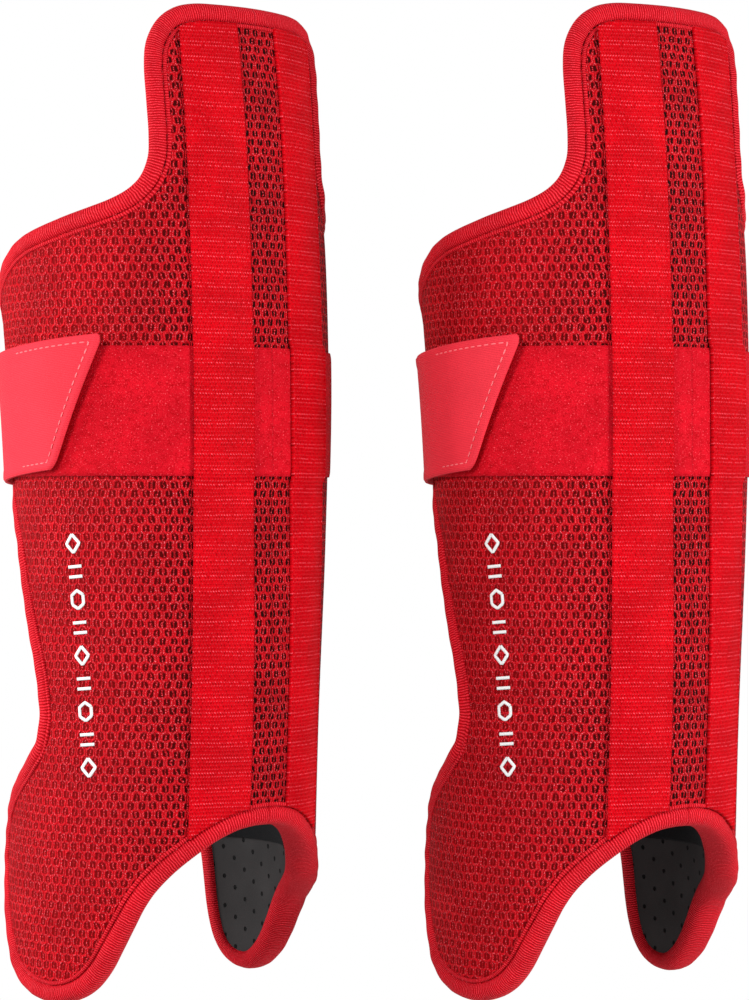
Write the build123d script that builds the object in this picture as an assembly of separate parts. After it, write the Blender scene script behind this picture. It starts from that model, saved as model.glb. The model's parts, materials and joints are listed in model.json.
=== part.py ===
from build123d import *
import math
import os

# Pair of soft wrap-around shin guards. All sizes are in millimetres, +Z runs up the leg.
# One guard is modelled about its own leg axis: its front faces -Y, its near side is -X
# and its lowest flap tip is at z = 0. Two copies then stand side by side along X.
# "Offset" is the distance outwards from the face of the mesh cover.

# ---- driving sizes -------------------------------------------------------------------
PAIR_SPACING = 176.0        # between the two leg axes
TURN_LEFT = 43.9            # degrees the left guard is turned about its leg axis
TURN_RIGHT = 36.1           # the same for the right guard
HEIGHT = 404.5              # lowest flap tip to the top of the tongue
WIDTH = 139.0               # across the calf

# leg form: height, half width across, half depth, centre set back from the leg axis,
# drawn for the height and width below
SECTIONS = [
    (-10.0, 64.5, 66.0, 4.0),
    (40.0, 63.5, 66.0, 2.5),
    (80.0, 62.0, 65.5, 1.0),
    (130.0, 62.0, 63.5, -2.8),
    (190.0, 65.5, 62.0, -4.4),
    (250.0, 68.5, 63.0, -2.9),
    (300.0, 69.5, 65.5, 0.9),
    (350.0, 69.0, 65.0, 3.5),
    (415.0, 72.0, 62.0, 8.0),
]
DRAWN_HEIGHT = 404.5
DRAWN_WIDTH = 139.0

# layers, from the outside in
COVER_THICK = 3.0           # spacer mesh cover
FOAM_THICK = 5.85
LINER_THICK = 3.85          # padded lining of the shin and calf
ANKLE_LINER_THICK = 1.85    # perforated lining of the ankle flaps
LAYER_GAP = 0.15
PLATE_THICK = 1.7           # stiff plate let into the outer face of the shin foam
PLATE_HALF = 30.0
PLATE_Z = (112.0, 372.0)
ANKLE_LINER_TOP = 58.0

# edge binding
BINDING_WIDTH = 9.5
BINDING_PROUD = 0.5
BINDING_DEEP = 11.5

# hook tapes, loop band and strap
TAPE_WIDTH = 25.4
TAPE_FROM_CENTRE = 10.0     # along the surface, front centre to the tape's inner edge
WEB_THICK = 1.2             # tapes and loop band
BAND_Z = 213.5
BAND_WIDTH = 52.0
STRAP_WIDTH = 52.0
STRAP_MID = 240.8           # height of the strap's middle beside the leg axis
STRAP_RISE = 0.1            # how much the strap rises towards its end
STRAP_THICK = 1.7
PATCH_THICK = 0.9
PATCH_LENGTH = 36.0
STRAP_GAP = 0.3             # clear of what it closes over

# folds between the bodies
FOLD_GAP = 0.4
FOLD_MEET = 2.0             # the two fold planes meet this far behind the leg axis
CALF_OPENING = 34.0         # half the gap between the wings behind the calf
STRAP_ROOT = 148.0          # angles round the leg, from the front
TAB_FOLD = -118.0
ANCHOR_FROM = 122.0

FAR = 230.0                 # beyond everything

K = HEIGHT / DRAWN_HEIGHT
W = WIDTH / DRAWN_WIDTH

foam_out = -COVER_THICK - LAYER_GAP
foam_in = foam_out - FOAM_THICK
liner_out = foam_in - LAYER_GAP
liner_in = liner_out - LINER_THICK
ankle_in = liner_out - ANKLE_LINER_THICK
plate_out = foam_out - 0.1
plate_in = plate_out - PLATE_THICK
web_in = 0.1
web_out = web_in + WEB_THICK
raised_out = web_out + 0.1 + WEB_THICK
patch_in = web_out + STRAP_GAP
patch_out = patch_in + PATCH_THICK
strap_in = patch_out + 0.1
strap_out = strap_in + STRAP_THICK
band_top = BAND_Z * K + BAND_WIDTH

# outline of the front panel, front view: across and height
TONGUE_EDGE = [
    (0.0, 404.5), (16.0, 404.5), (28.0, 404.0), (35.5, 401.2), (41.5, 396.0), (45.2, 388.0),
    (46.4, 378.0), (46.4, 362.0), (46.5, 348.0), (47.8, 338.0), (51.5, 330.0), (58.0, 324.0),
    (70.0, 318.5),
]
ARCH_EDGE = [
    (0.0, 72.0), (12.7, 71.0), (19.0, 68.7), (24.4, 65.6), (31.8, 60.0), (40.5, 52.0),
    (45.4, 44.5), (50.0, 34.0), (56.0, 18.0),
]

# outline of a wing, side view: behind the leg axis and height
WING_EDGE = [
    (-56.0, 350.0), (-49.0, 340.5), (-42.5, 331.5), (-33.7, 324.3), (-11.7, 317.2),
    (12.7, 310.5), (26.7, 303.2), (42.0, 293.5), (53.0, 280.0), (60.0, 262.0), (62.0, 246.0),
    (59.0, 232.0), (50.0, 218.0), (38.0, 204.5), (28.0, 193.0), (23.0, 179.0),
    (19.3, 162.5), (14.0, 146.5), (9.4, 130.5), (7.8, 116.0), (11.3, 105.3), (20.0, 96.5),
    (30.5, 87.5), (40.0, 79.0), (44.2, 67.0), (43.6, 52.5), (39.5, 36.5), (33.4, 22.0),
    (26.5, 12.0), (14.0, 3.6), (0.0, 0.0), (-10.0, 0.6), (-20.0, 4.8), (-27.8, 11.5),
    (-33.0, 19.5), (-37.0, 28.0), (-40.6, 36.5), (-44.0, 45.5), (-49.0, 55.0), (-56.0, 63.0),
]
# the far wing has the same outline down to its flap, which is narrower
FAR_FLAP_FROM = 80.0
FAR_FLAP_EDGE = [
    (37.6, 77.5), (38.3, 66.0), (36.6, 55.0), (35.6, 46.0), (35.0, 37.0), (34.2, 28.5),
    (32.8, 20.0), (30.2, 12.0), (25.4, 5.2), (18.8, 1.2), (11.0, 0.0), (5.0, 1.8),
    (-1.5, 6.5), (-8.0, 13.6), (-13.8, 21.5), (-19.0, 28.5), (-25.0, 33.9), (-32.0, 38.0),
    (-38.5, 41.9), (-44.0, 46.8), (-49.0, 54.5), (-56.0, 63.0),
]
back_edge = [point for point in WING_EDGE[:30] if point[1] > FAR_FLAP_FROM]
FAR_WING_EDGE = back_edge + FAR_FLAP_EDGE


def form(offset_by):
    """The leg form grown outwards, closed at both ends."""
    rings = []
    for z, a, b, back in SECTIONS:
        ring = Ellipse(a * W + offset_by, b * W + offset_by)
        rings.append(Plane(origin=(0, back * W, z * K)) * ring)
    return loft(rings)


forms = {}


def shell(inner, outer):
    """The layer of the leg form between two offsets."""
    for value in (inner, outer):
        if value not in forms:
            forms[value] = form(value)
    return forms[outer] - forms[inner]


def scaled(points):
    """Outline points at the driving width and height."""
    return [(across * W, z * K) for across, z in points]


def outline(points, inset, side):
    """An edge drawn through outline points, moved into the panel on one side of its run."""
    curve = Spline(*scaled(points))
    if not inset:
        return curve
    moved = []
    count = 2 * len(points)
    for i in range(count + 1):
        at = curve @ (i / count)
        along = curve % (i / count)
        moved.append((at.X + side * inset * along.Y, at.Y - side * inset * along.X))
    return Spline(*moved)


def front_face(inset=0.0):
    """The front panel's outline in the front view, or the same moved inwards."""
    tongue = [(-x, z) for x, z in reversed(TONGUE_EDGE)] + TONGUE_EDGE[1:]
    arch = [(-x, z) for x, z in reversed(ARCH_EDGE)] + ARCH_EDGE[1:]
    top = outline(tongue, inset, 1)
    low = outline(arch, inset, -1)
    return make_face([top, Line(top @ 1, low @ 1), low, Line(top @ 0, low @ 0)])


def wing_face(points, inset=0.0):
    """A wing's outline in the side view, or the same moved inwards."""
    edge = outline(points, inset, 1)
    return make_face([edge, Line(edge @ 1, edge @ 0)])


def front_prism(face):
    """A front view outline pushed forwards from the leg axis."""
    return Plane.XZ * extrude(face, FAR)


def side_prism(face):
    """A side view outline pushed out to both sides of the leg axis."""
    plane = Plane(origin=(0, 0, 0), x_dir=(0, 1, 0), z_dir=(1, 0, 0))
    return plane * extrude(face, FAR, both=True)


def column(points, low=-60.0, high=460.0):
    """An upright prism over a plan view outline."""
    face = make_face(Polyline(*points, close=True).edges())
    return Pos(0, 0, low) * extrude(face, high * max(K, 1) - low)


def slab(low, high):
    """Everything between two heights."""
    return Pos(0, 0, (low + high) / 2) * Box(4 * FAR, 4 * FAR, high - low)


def sector(start, end):
    """Everything between two angles round the leg, from the front."""
    middle = -3.0 * W
    steps = max(2, int(abs(end - start) / 30) + 2)
    points = [(0.0, middle)]
    for i in range(steps):
        angle = math.radians(start + (end - start) * i / (steps - 1))
        points.append((FAR * math.sin(angle), middle - FAR * math.cos(angle)))
    return column(points)


def front_wedge():
    """Everything in front of the two fold planes."""
    apex = FOLD_MEET * W - FOLD_GAP / 2 * math.sqrt(2)
    return column([(0, apex), (-FAR, apex - FAR), (FAR, apex - FAR)])


def near_wedge(calf):
    """Everything on the near side of its fold plane, ending calf from the middle behind."""
    apex = FOLD_MEET * W + FOLD_GAP / 2 * math.sqrt(2)
    points = [(0, apex), (-FAR, apex - FAR), (-FAR, FAR), (-calf, FAR), (-calf, 0.3 * apex + 6)]
    return column(points)


# ---- zones ---------------------------------------------------------------------------
front_view = front_face()
front_in = front_face(BINDING_WIDTH)
front_core = front_face(BINDING_WIDTH + LAYER_GAP)

calf = CALF_OPENING * W
front_zone = front_prism(front_view) & front_wedge()
front_binding = front_zone - front_prism(front_in)
front_panel = front_prism(front_core) & front_wedge()
band_zone = slab(BAND_Z * K, band_top)
above_ankle = slab(ANKLE_LINER_TOP * K + 0.2, 460 * K)
below_ankle = slab(-60, ANKLE_LINER_TOP * K - 0.2)


def solid_of(shape):
    """The largest solid of a cut, so that slivers at its edges are left out."""
    return max(shape.solids(), key=lambda item: item.volume)


def front_parts():
    """The front panel: cover, shin foam and plate, lining, tapes, loop band and binding."""
    parts = {}
    parts["front_cover"] = shell(-COVER_THICK, 0) & front_panel
    plate_face = RectangleRounded(2 * PLATE_HALF * W, (PLATE_Z[1] - PLATE_Z[0]) * K, 14)
    plate_mid = (PLATE_Z[0] + PLATE_Z[1]) / 2 * K
    plate_zone = front_prism(Pos(0, plate_mid) * plate_face)
    pocket_face = RectangleRounded(
        2 * PLATE_HALF * W + 0.4, (PLATE_Z[1] - PLATE_Z[0]) * K + 0.4, 14.2
    )
    pocket_zone = front_prism(Pos(0, plate_mid) * pocket_face)
    pocket = shell(plate_in - 0.1, 0) & pocket_zone
    parts["shin_foam"] = (shell(foam_in, foam_out) & front_panel) - pocket
    parts["shin_plate"] = shell(plate_in, plate_out) & plate_zone
    parts["front_liner"] = shell(liner_in, liner_out) & front_panel
    parts["front_loop_band"] = shell(web_in, web_out) & front_panel & band_zone

    curve = 69.5 * W
    inner = curve * math.sin(TAPE_FROM_CENTRE / curve)
    outer = curve * math.sin((TAPE_FROM_CENTRE + TAPE_WIDTH) / curve)
    strip = Pos((inner + outer) / 2, 200 * K) * Rectangle(outer - inner, 500 * K)
    strip_zone = front_prism(strip) & front_panel
    flat = shell(web_in, web_out) & (strip_zone - slab(BAND_Z * K - 0.4, band_top + 0.4))
    over = shell(web_out + 0.1, raised_out) & strip_zone & slab(BAND_Z * K - 2, band_top + 2)
    step = shell(web_in, raised_out) & strip_zone
    low_step = step & slab(BAND_Z * K - 2, BAND_Z * K - 0.4)
    high_step = step & slab(band_top + 0.4, band_top + 2)
    tape = flat + over + low_step + high_step
    parts["far_hook_tape"] = tape
    parts["near_hook_tape"] = mirror(tape, about=Plane.YZ)

    binding = shell(-BINDING_DEEP, BINDING_PROUD) & front_binding
    parts["tongue_binding"] = binding & slab(200 * K, 460 * K)
    parts["arch_binding"] = binding & slab(-60, 200 * K)
    return parts


def wing_parts(points):
    """One wing, drawn on the near side: cover, foam, linings, loop band and binding."""
    wing_zone = side_prism(wing_face(points)) & near_wedge(calf)
    core = wing_face(points, BINDING_WIDTH + LAYER_GAP)
    wing_panel = side_prism(core) & near_wedge(calf + BINDING_WIDTH + LAYER_GAP)
    inner = side_prism(wing_face(points, BINDING_WIDTH)) & near_wedge(calf + BINDING_WIDTH)
    wing_binding = wing_zone - inner
    parts = {}
    parts["wing_cover"] = shell(-COVER_THICK, 0) & wing_panel
    parts["wing_foam"] = shell(foam_in, foam_out) & wing_panel
    parts["calf_liner"] = shell(liner_in, liner_out) & wing_panel & above_ankle
    parts["ankle_liner"] = shell(ankle_in, liner_out) & wing_panel & below_ankle
    parts["wing_loop_band"] = shell(web_in, web_out) & wing_panel & band_zone
    parts["wing_binding"] = shell(-BINDING_DEEP, BINDING_PROUD) & wing_binding
    return parts


def strap_face(start, end_top, end_low, margin=0.0):
    """The strap's side view outline from one depth to its slanted end."""
    half = STRAP_WIDTH / 2 - margin
    mid = STRAP_MID * K
    points = []
    for y, side in ((start, 1), (end_top * W, 1), (end_low * W, -1), (start, -1)):
        points.append((y, mid + side * half - STRAP_RISE * y))
    return make_face(Polyline(*points, close=True).edges())


def strap_parts():
    """The strap: sewn anchor, elastic behind the calf, and the tab with its hook patch."""
    half_gap = math.degrees(FOLD_GAP / 2 / (66 * W))
    parts = {}
    level = side_prism(strap_face(90 * W, -60, -60))
    elastic = shell(strap_in, strap_out) & level
    anchor_layer = shell(patch_in, strap_out) & level
    parts["strap_anchor"] = anchor_layer & sector(ANCHOR_FROM, STRAP_ROOT - half_gap)
    parts["strap"] = elastic & sector(STRAP_ROOT + half_gap, 360 + TAB_FOLD - half_gap)
    tab_view = side_prism(strap_face(90 * W, -34.9, -14.2)) & sector(TAB_FOLD + half_gap, -20)
    parts["strap_tab"] = shell(strap_in, strap_out) & tab_view
    patch_face = strap_face(-22.0 * W + PATCH_LENGTH, -30.0, -9.5, 3.0)
    patch_view = side_prism(patch_face) & sector(TAB_FOLD + 4, -20)
    parts["hook_patch"] = shell(patch_in, patch_out) & patch_view
    return parts


def side_marks():
    """The strip of generic printed marks down the near wing."""
    points = scaled([(-22.3, 192.0), (-14.6, 192.0), (-18.2, 91.0), (-25.6, 91.5)])
    face = make_face(Polyline(*points, close=True).edges())
    near = column([(0, -FAR), (-FAR, -FAR), (-FAR, FAR), (0, FAR)])
    return shell(0.1, 0.4) & side_prism(face) & near


def guard():
    """Every piece of one guard, about its own leg axis."""
    parts = front_parts()
    for name, shape in wing_parts(WING_EDGE).items():
        parts["near_" + name] = shape
    for name, shape in wing_parts(FAR_WING_EDGE).items():
        parts["far_" + name] = mirror(shape, about=Plane.YZ)
    parts.update(strap_parts())
    parts["near_side_marks"] = side_marks()
    return {name: solid_of(shape) for name, shape in parts.items()}


os.makedirs("parts", exist_ok=True)
pieces = guard()
for side, x, turn in (("left", 0.0, TURN_LEFT), ("right", PAIR_SPACING, TURN_RIGHT)):
    place = Location((x, 0, 0), (0, 0, turn))
    for name, shape in pieces.items():
        export_step(place * shape, "parts/" + side + "_" + name + ".step")
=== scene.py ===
"""A pair of soft wrap-around hockey shin guards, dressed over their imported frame.

Lengths inside the classes are in millimetres about one guard's own leg axis: its front
faces -Y and +Z runs up the leg. Place turns them into the row's metres.
"""

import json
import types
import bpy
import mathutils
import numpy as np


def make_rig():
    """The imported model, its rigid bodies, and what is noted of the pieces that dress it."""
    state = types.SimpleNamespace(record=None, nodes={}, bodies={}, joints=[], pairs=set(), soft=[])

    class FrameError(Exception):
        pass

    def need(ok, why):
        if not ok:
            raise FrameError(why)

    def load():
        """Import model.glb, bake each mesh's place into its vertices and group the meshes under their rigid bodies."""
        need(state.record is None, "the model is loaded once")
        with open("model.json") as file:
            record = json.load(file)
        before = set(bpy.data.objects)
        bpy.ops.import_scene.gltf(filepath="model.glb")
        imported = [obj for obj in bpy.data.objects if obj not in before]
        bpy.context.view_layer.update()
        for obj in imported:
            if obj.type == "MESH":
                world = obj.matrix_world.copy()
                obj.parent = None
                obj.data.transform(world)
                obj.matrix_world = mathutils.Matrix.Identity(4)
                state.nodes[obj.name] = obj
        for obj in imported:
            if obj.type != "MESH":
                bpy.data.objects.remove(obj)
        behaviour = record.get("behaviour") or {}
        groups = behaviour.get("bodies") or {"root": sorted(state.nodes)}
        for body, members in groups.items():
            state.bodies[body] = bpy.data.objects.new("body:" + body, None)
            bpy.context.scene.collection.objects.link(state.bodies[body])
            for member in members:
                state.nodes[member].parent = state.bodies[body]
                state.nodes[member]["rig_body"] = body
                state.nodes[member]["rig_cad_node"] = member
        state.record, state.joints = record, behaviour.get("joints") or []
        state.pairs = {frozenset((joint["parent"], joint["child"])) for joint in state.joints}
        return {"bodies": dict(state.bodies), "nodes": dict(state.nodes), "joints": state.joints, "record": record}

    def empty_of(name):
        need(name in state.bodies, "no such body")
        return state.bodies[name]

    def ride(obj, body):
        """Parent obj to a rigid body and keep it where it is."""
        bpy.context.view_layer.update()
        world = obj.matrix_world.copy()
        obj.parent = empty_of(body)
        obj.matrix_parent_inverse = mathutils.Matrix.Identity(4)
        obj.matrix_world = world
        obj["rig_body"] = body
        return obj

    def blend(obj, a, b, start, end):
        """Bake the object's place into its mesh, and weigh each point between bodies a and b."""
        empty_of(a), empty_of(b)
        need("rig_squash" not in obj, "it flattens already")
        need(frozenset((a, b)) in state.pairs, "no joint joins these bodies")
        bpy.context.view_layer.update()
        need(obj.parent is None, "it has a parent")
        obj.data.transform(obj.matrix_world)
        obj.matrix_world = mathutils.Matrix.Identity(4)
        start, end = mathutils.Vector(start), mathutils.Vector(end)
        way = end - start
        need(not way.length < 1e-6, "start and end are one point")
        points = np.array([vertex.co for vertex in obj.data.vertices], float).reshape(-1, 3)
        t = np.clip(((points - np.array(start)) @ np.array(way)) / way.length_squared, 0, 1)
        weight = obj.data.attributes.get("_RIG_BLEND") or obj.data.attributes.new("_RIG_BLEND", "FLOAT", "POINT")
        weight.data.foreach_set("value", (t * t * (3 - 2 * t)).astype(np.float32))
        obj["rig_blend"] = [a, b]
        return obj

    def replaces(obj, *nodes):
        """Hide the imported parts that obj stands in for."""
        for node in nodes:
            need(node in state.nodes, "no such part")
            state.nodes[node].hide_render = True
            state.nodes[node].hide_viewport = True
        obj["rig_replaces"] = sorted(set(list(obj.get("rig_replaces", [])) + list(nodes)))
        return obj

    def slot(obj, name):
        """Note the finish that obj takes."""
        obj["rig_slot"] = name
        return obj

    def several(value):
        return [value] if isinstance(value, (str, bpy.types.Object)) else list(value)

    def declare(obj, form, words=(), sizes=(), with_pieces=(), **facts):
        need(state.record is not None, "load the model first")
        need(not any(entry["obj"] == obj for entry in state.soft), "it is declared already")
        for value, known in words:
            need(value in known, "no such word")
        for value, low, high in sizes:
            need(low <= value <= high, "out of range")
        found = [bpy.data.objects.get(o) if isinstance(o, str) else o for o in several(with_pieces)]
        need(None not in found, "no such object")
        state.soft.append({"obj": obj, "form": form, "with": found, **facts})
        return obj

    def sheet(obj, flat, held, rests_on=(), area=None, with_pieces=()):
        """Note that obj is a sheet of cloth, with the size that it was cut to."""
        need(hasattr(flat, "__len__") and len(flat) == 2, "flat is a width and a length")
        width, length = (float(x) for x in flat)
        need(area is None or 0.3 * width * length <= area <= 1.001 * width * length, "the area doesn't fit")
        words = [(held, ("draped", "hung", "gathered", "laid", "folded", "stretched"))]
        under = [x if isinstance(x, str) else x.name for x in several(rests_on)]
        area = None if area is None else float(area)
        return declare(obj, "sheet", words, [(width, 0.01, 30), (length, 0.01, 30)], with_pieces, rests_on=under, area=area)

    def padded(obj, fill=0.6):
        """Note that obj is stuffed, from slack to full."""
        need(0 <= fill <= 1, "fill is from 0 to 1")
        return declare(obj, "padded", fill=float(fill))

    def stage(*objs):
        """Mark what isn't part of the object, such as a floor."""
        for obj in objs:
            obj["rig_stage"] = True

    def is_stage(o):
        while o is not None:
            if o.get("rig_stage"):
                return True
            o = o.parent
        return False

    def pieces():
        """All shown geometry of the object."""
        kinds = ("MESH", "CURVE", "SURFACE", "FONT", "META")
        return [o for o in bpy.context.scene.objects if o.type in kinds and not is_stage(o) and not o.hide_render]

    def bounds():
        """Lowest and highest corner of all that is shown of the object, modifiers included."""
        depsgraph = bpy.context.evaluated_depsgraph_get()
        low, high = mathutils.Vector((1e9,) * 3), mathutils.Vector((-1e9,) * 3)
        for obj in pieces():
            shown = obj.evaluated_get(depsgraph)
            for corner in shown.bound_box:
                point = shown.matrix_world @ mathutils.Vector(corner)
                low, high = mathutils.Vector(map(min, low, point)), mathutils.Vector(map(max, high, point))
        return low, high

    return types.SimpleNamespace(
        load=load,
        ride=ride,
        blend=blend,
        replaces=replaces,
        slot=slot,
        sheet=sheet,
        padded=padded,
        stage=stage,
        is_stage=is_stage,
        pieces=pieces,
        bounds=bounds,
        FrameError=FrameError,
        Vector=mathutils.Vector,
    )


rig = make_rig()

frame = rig.load()

import json
import logging
import math
from dataclasses import dataclass
from enum import Enum
from functools import cached_property

import bpy
import numpy as np

log = logging.getLogger("shin_guards")

Row = tuple[float, float, float]


class Side(Enum):
    """The two halves of a guard, either side of its front centre line."""

    NEAR = -1
    FAR = 1

    @property
    def word(self) -> str:
        """The half's name as the pieces carry it."""
        return self.name.lower()


# where the shell folds: the angles its bending runs between, and their height
FOLD_FROM = 45.0
FOLD_TO = 63.0
FOLD_HEIGHT = 200.0

# how the cover stands: at its bound edge, its crown, the crown's reach, its unevenness
COVER_REST = -0.6
CROWN = 1.3
CROWN_REACH = 9.0
UNEVEN = 0.25


def lengths(points: np.ndarray) -> np.ndarray:
    """The length run so far at each point of a flat path."""
    return np.concatenate([[0], np.cumsum(np.hypot(*np.diff(points, axis=0).T))])


def placed(name: str, data: bpy.types.ID) -> bpy.types.Object:
    """A new object in the scene that holds some data."""
    item = bpy.data.objects.new(name, data)
    bpy.context.scene.collection.objects.link(item)
    return item


# ---------------------------------------------------------------------------------------
# shapes
# ---------------------------------------------------------------------------------------


@dataclass(frozen=True)
class LegForm:
    """The leg form: upright stack of ellipses, smooth between its stations.

    Attributes:
        stations: height, half width, half depth and set-back of each ellipse.
    """

    stations: tuple[tuple[float, float, float, float], ...] = (
        (-10.0, 64.5, 66.0, 4.0),
        (40.0, 63.5, 66.0, 2.5),
        (80.0, 62.0, 65.5, 1.0),
        (130.0, 62.0, 63.5, -2.8),
        (190.0, 65.5, 62.0, -4.4),
        (250.0, 68.5, 63.0, -2.9),
        (300.0, 69.5, 65.5, 0.9),
        (350.0, 69.0, 65.0, 3.5),
        (415.0, 72.0, 62.0, 8.0),
    )

    @cached_property
    def _bend(self) -> np.ndarray:
        """Second derivatives of the natural cubic spline through the stations."""
        table = np.array(self.stations)
        z, values = table[:, 0], table[:, 1:]
        step = np.diff(z)
        count = len(z)
        matrix = np.eye(count)
        right = np.zeros((count, 3))
        inner = np.arange(1, count - 1)
        matrix[inner, inner - 1] = step[:-1]
        matrix[inner, inner] = 2 * (step[:-1] + step[1:])
        matrix[inner, inner + 1] = step[1:]
        slope = np.diff(values, axis=0) / step[:, None]
        right[1:-1] = 6 * np.diff(slope, axis=0)
        return np.linalg.solve(matrix, right)

    def sections(self, z: np.ndarray) -> tuple[np.ndarray, np.ndarray, np.ndarray]:
        """Half width, half depth and set-back at each height, by the cubic spline."""
        table = np.array(self.stations)
        heights, values = table[:, 0], table[:, 1:]
        z = np.asarray(z, float)
        at = np.clip(np.searchsorted(heights, z) - 1, 0, len(heights) - 2)
        step = heights[at + 1] - heights[at]
        left = ((heights[at + 1] - z) / step)[..., None]
        right = 1 - left
        step = step[..., None]
        value = left * values[at] + right * values[at + 1]
        value += (left**3 - left) * self._bend[at] * step**2 / 6
        value += (right**3 - right) * self._bend[at + 1] * step**2 / 6
        return value[..., 0], value[..., 1], value[..., 2]

    def arc(self, degrees: np.ndarray, z: np.ndarray) -> np.ndarray:
        """Length along the surface from the front centre to an angle.

        The ellipse's arc is m t + (a a - b b) / (8 m) sin 2t, with m the root mean
        square of its half axes, which is exact to a tenth of a millimetre here.
        """
        a, b, _ = self.sections(z)
        turn = np.radians(degrees)
        mean = np.sqrt((a**2 + b**2) / 2)
        return mean * turn + (a**2 - b**2) / (8 * mean) * np.sin(2 * turn)

    def angle(self, s: np.ndarray, z: np.ndarray) -> np.ndarray:
        """The angle round the form in radians at a length along the surface."""
        a, b, _ = self.sections(z)
        mean = np.sqrt((a**2 + b**2) / 2)
        return s / mean - (a**2 - b**2) / (8 * mean**2) * np.sin(2 * s / mean)

    def point(self, s: np.ndarray, z: np.ndarray, out: np.ndarray) -> np.ndarray:
        """Points at length s along the surface, height z and distance out from it.

        x = (a + out) sin t and y = back - (b + out) cos t, t being the angle at s.
        """
        s, z, out = np.broadcast_arrays(
            np.asarray(s, float), np.asarray(z, float), np.asarray(out, float)
        )
        a, b, back = self.sections(z)
        t = self.angle(s, z)
        x = (a + out) * np.sin(t)
        y = back - (b + out) * np.cos(t)
        return np.stack([x, y, z], axis=-1)


@dataclass(frozen=True)
class Outline:
    """The edge of one half of a guard, unrolled to length along the surface and height.

    Attributes:
        form: the leg form it lies on.
        knots: angle from the front in degrees and height, from the top of the tongue
            round the wing, the back edge and the flap to the top of the arch.
        step: spacing of the points worked out along it.
    """

    form: LegForm
    knots: tuple[tuple[float, float], ...] = (
        (0.0, 404.5), (12.0, 404.4), (22.0, 404.0), (29.5, 401.8), (35.8, 396.5),
        (40.2, 388.0), (41.8, 378.0), (42.0, 364.0), (42.0, 350.0), (43.0, 340.0),
        (47.5, 331.0), (57.5, 324.2), (78.0, 317.2), (98.0, 311.0), (113.0, 303.0),
        (127.0, 294.0), (138.0, 283.0), (146.0, 269.0), (149.5, 255.0), (149.8, 243.0),
        (147.0, 231.0), (142.0, 218.0), (133.5, 205.0), (124.5, 194.0), (117.5, 182.0),
        (113.8, 168.0), (108.0, 151.0), (102.0, 134.0), (98.3, 118.5), (99.8, 106.5),
        (108.0, 96.5), (117.5, 87.8), (125.5, 78.5), (130.0, 67.0), (129.5, 52.5),
        (123.8, 36.5), (116.0, 21.0), (107.0, 9.5), (96.0, 2.8), (84.0, 0.3),
        (74.5, 1.8), (66.5, 6.5), (60.4, 14.0), (55.6, 23.5), (51.6, 32.0),
        (47.5, 40.5), (43.0, 47.5), (37.0, 54.3), (30.5, 60.0), (23.5, 65.3),
        (17.8, 68.6), (11.8, 71.0), (5.0, 72.2), (0.0, 72.4),
    )
    step: float = 1.1

    @classmethod
    def of(cls, form: LegForm, side: Side) -> "Outline":
        """A half's outline: the far one ends in a narrower ankle flap."""
        if side is Side.NEAR:
            return cls(form)
        flap = (
            (117.5, 87.8), (122.3, 78.0), (123.3, 66.5), (121.5, 55.0), (120.2, 46.0),
            (119.2, 37.0), (118.2, 28.5), (116.6, 20.0), (114.0, 12.0), (109.6, 5.4),
            (103.6, 1.4), (96.8, 0.3), (91.2, 2.0), (85.4, 6.7), (79.6, 13.8),
            (74.5, 21.6), (69.8, 28.6), (64.6, 34.0), (58.2, 38.2), (51.4, 42.2),
            (44.6, 47.2), (37.4, 54.0),
        )
        knots = cls.knots
        start = knots.index(flap[0])
        return cls(form, knots[:start] + flap + knots[knots.index((37.0, 54.3)) + 1 :])

    @cached_property
    def path(self) -> np.ndarray:
        """Evenly spaced points of a Catmull-Rom curve through the knots."""
        knots = np.array(self.knots)
        points = np.stack([self.form.arc(knots[:, 0], knots[:, 1]), knots[:, 1]], 1)
        ends = [2 * points[0] - points[1], points, 2 * points[-1] - points[-2]]
        ends[0][1] = points[1][1]
        ends[2][1] = points[-2][1]
        p = np.vstack([ends[0][None], ends[1], ends[2][None]])
        t = np.linspace(0, 1, 24, endpoint=False)[None, :, None]
        a, b, c, d = (p[i : len(p) - 3 + i, None, :] for i in range(4))
        curve = 0.5 * (
            2 * b + (c - a) * t + (2 * a - 5 * b + 4 * c - d) * t**2
            + (3 * b - a - 3 * c + d) * t**3
        )
        curve = np.vstack([curve.reshape(-1, 2), points[-1:]])
        run = lengths(curve)
        even = np.linspace(0, run[-1], int(run[-1] / self.step))
        return np.stack([np.interp(even, run, curve[:, k]) for k in (0, 1)], 1)

    @cached_property
    def inward(self) -> np.ndarray:
        """Unit normals along the path that point into the panel."""
        along = np.gradient(self.path, axis=0)
        along[0] = (1, 0)
        along[-1] = (-1, 0)
        soft = np.stack(
            [np.convolve(np.pad(along[:, k], 2, "edge"), np.ones(5) / 5, "valid") for k in (0, 1)],
            1,
        )
        soft[0], soft[-1] = (1, 0), (-1, 0)
        soft /= np.linalg.norm(soft, axis=1, keepdims=True)
        return np.stack([soft[:, 1], -soft[:, 0]], 1)

    def moved(self, inset: float) -> np.ndarray:
        """The path moved into the panel, kept off the centre line's far side."""
        path = self.path + inset * self.inward
        path[:, 0] = np.maximum(path[:, 0], 0)
        return path

    def span(self, z: np.ndarray, inset: float) -> tuple[np.ndarray, np.ndarray]:
        """The panel's inner and outer limits along the surface at each height."""
        path = self.moved(inset)
        tip = int(np.argmin(path[:, 1]))
        down, up = path[: tip + 1], path[tip:]
        fall = np.minimum.accumulate(down[:, 1] - 1e-4 * np.arange(len(down)))
        rise = np.maximum.accumulate(up[:, 1] + 1e-4 * np.arange(len(up)))
        outer = np.interp(-z, -fall, down[:, 0])
        inner = np.where(z >= rise[-1], 0.0, np.interp(z, rise, up[:, 0]))
        return inner, np.maximum(outer, inner + 0.05)

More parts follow.
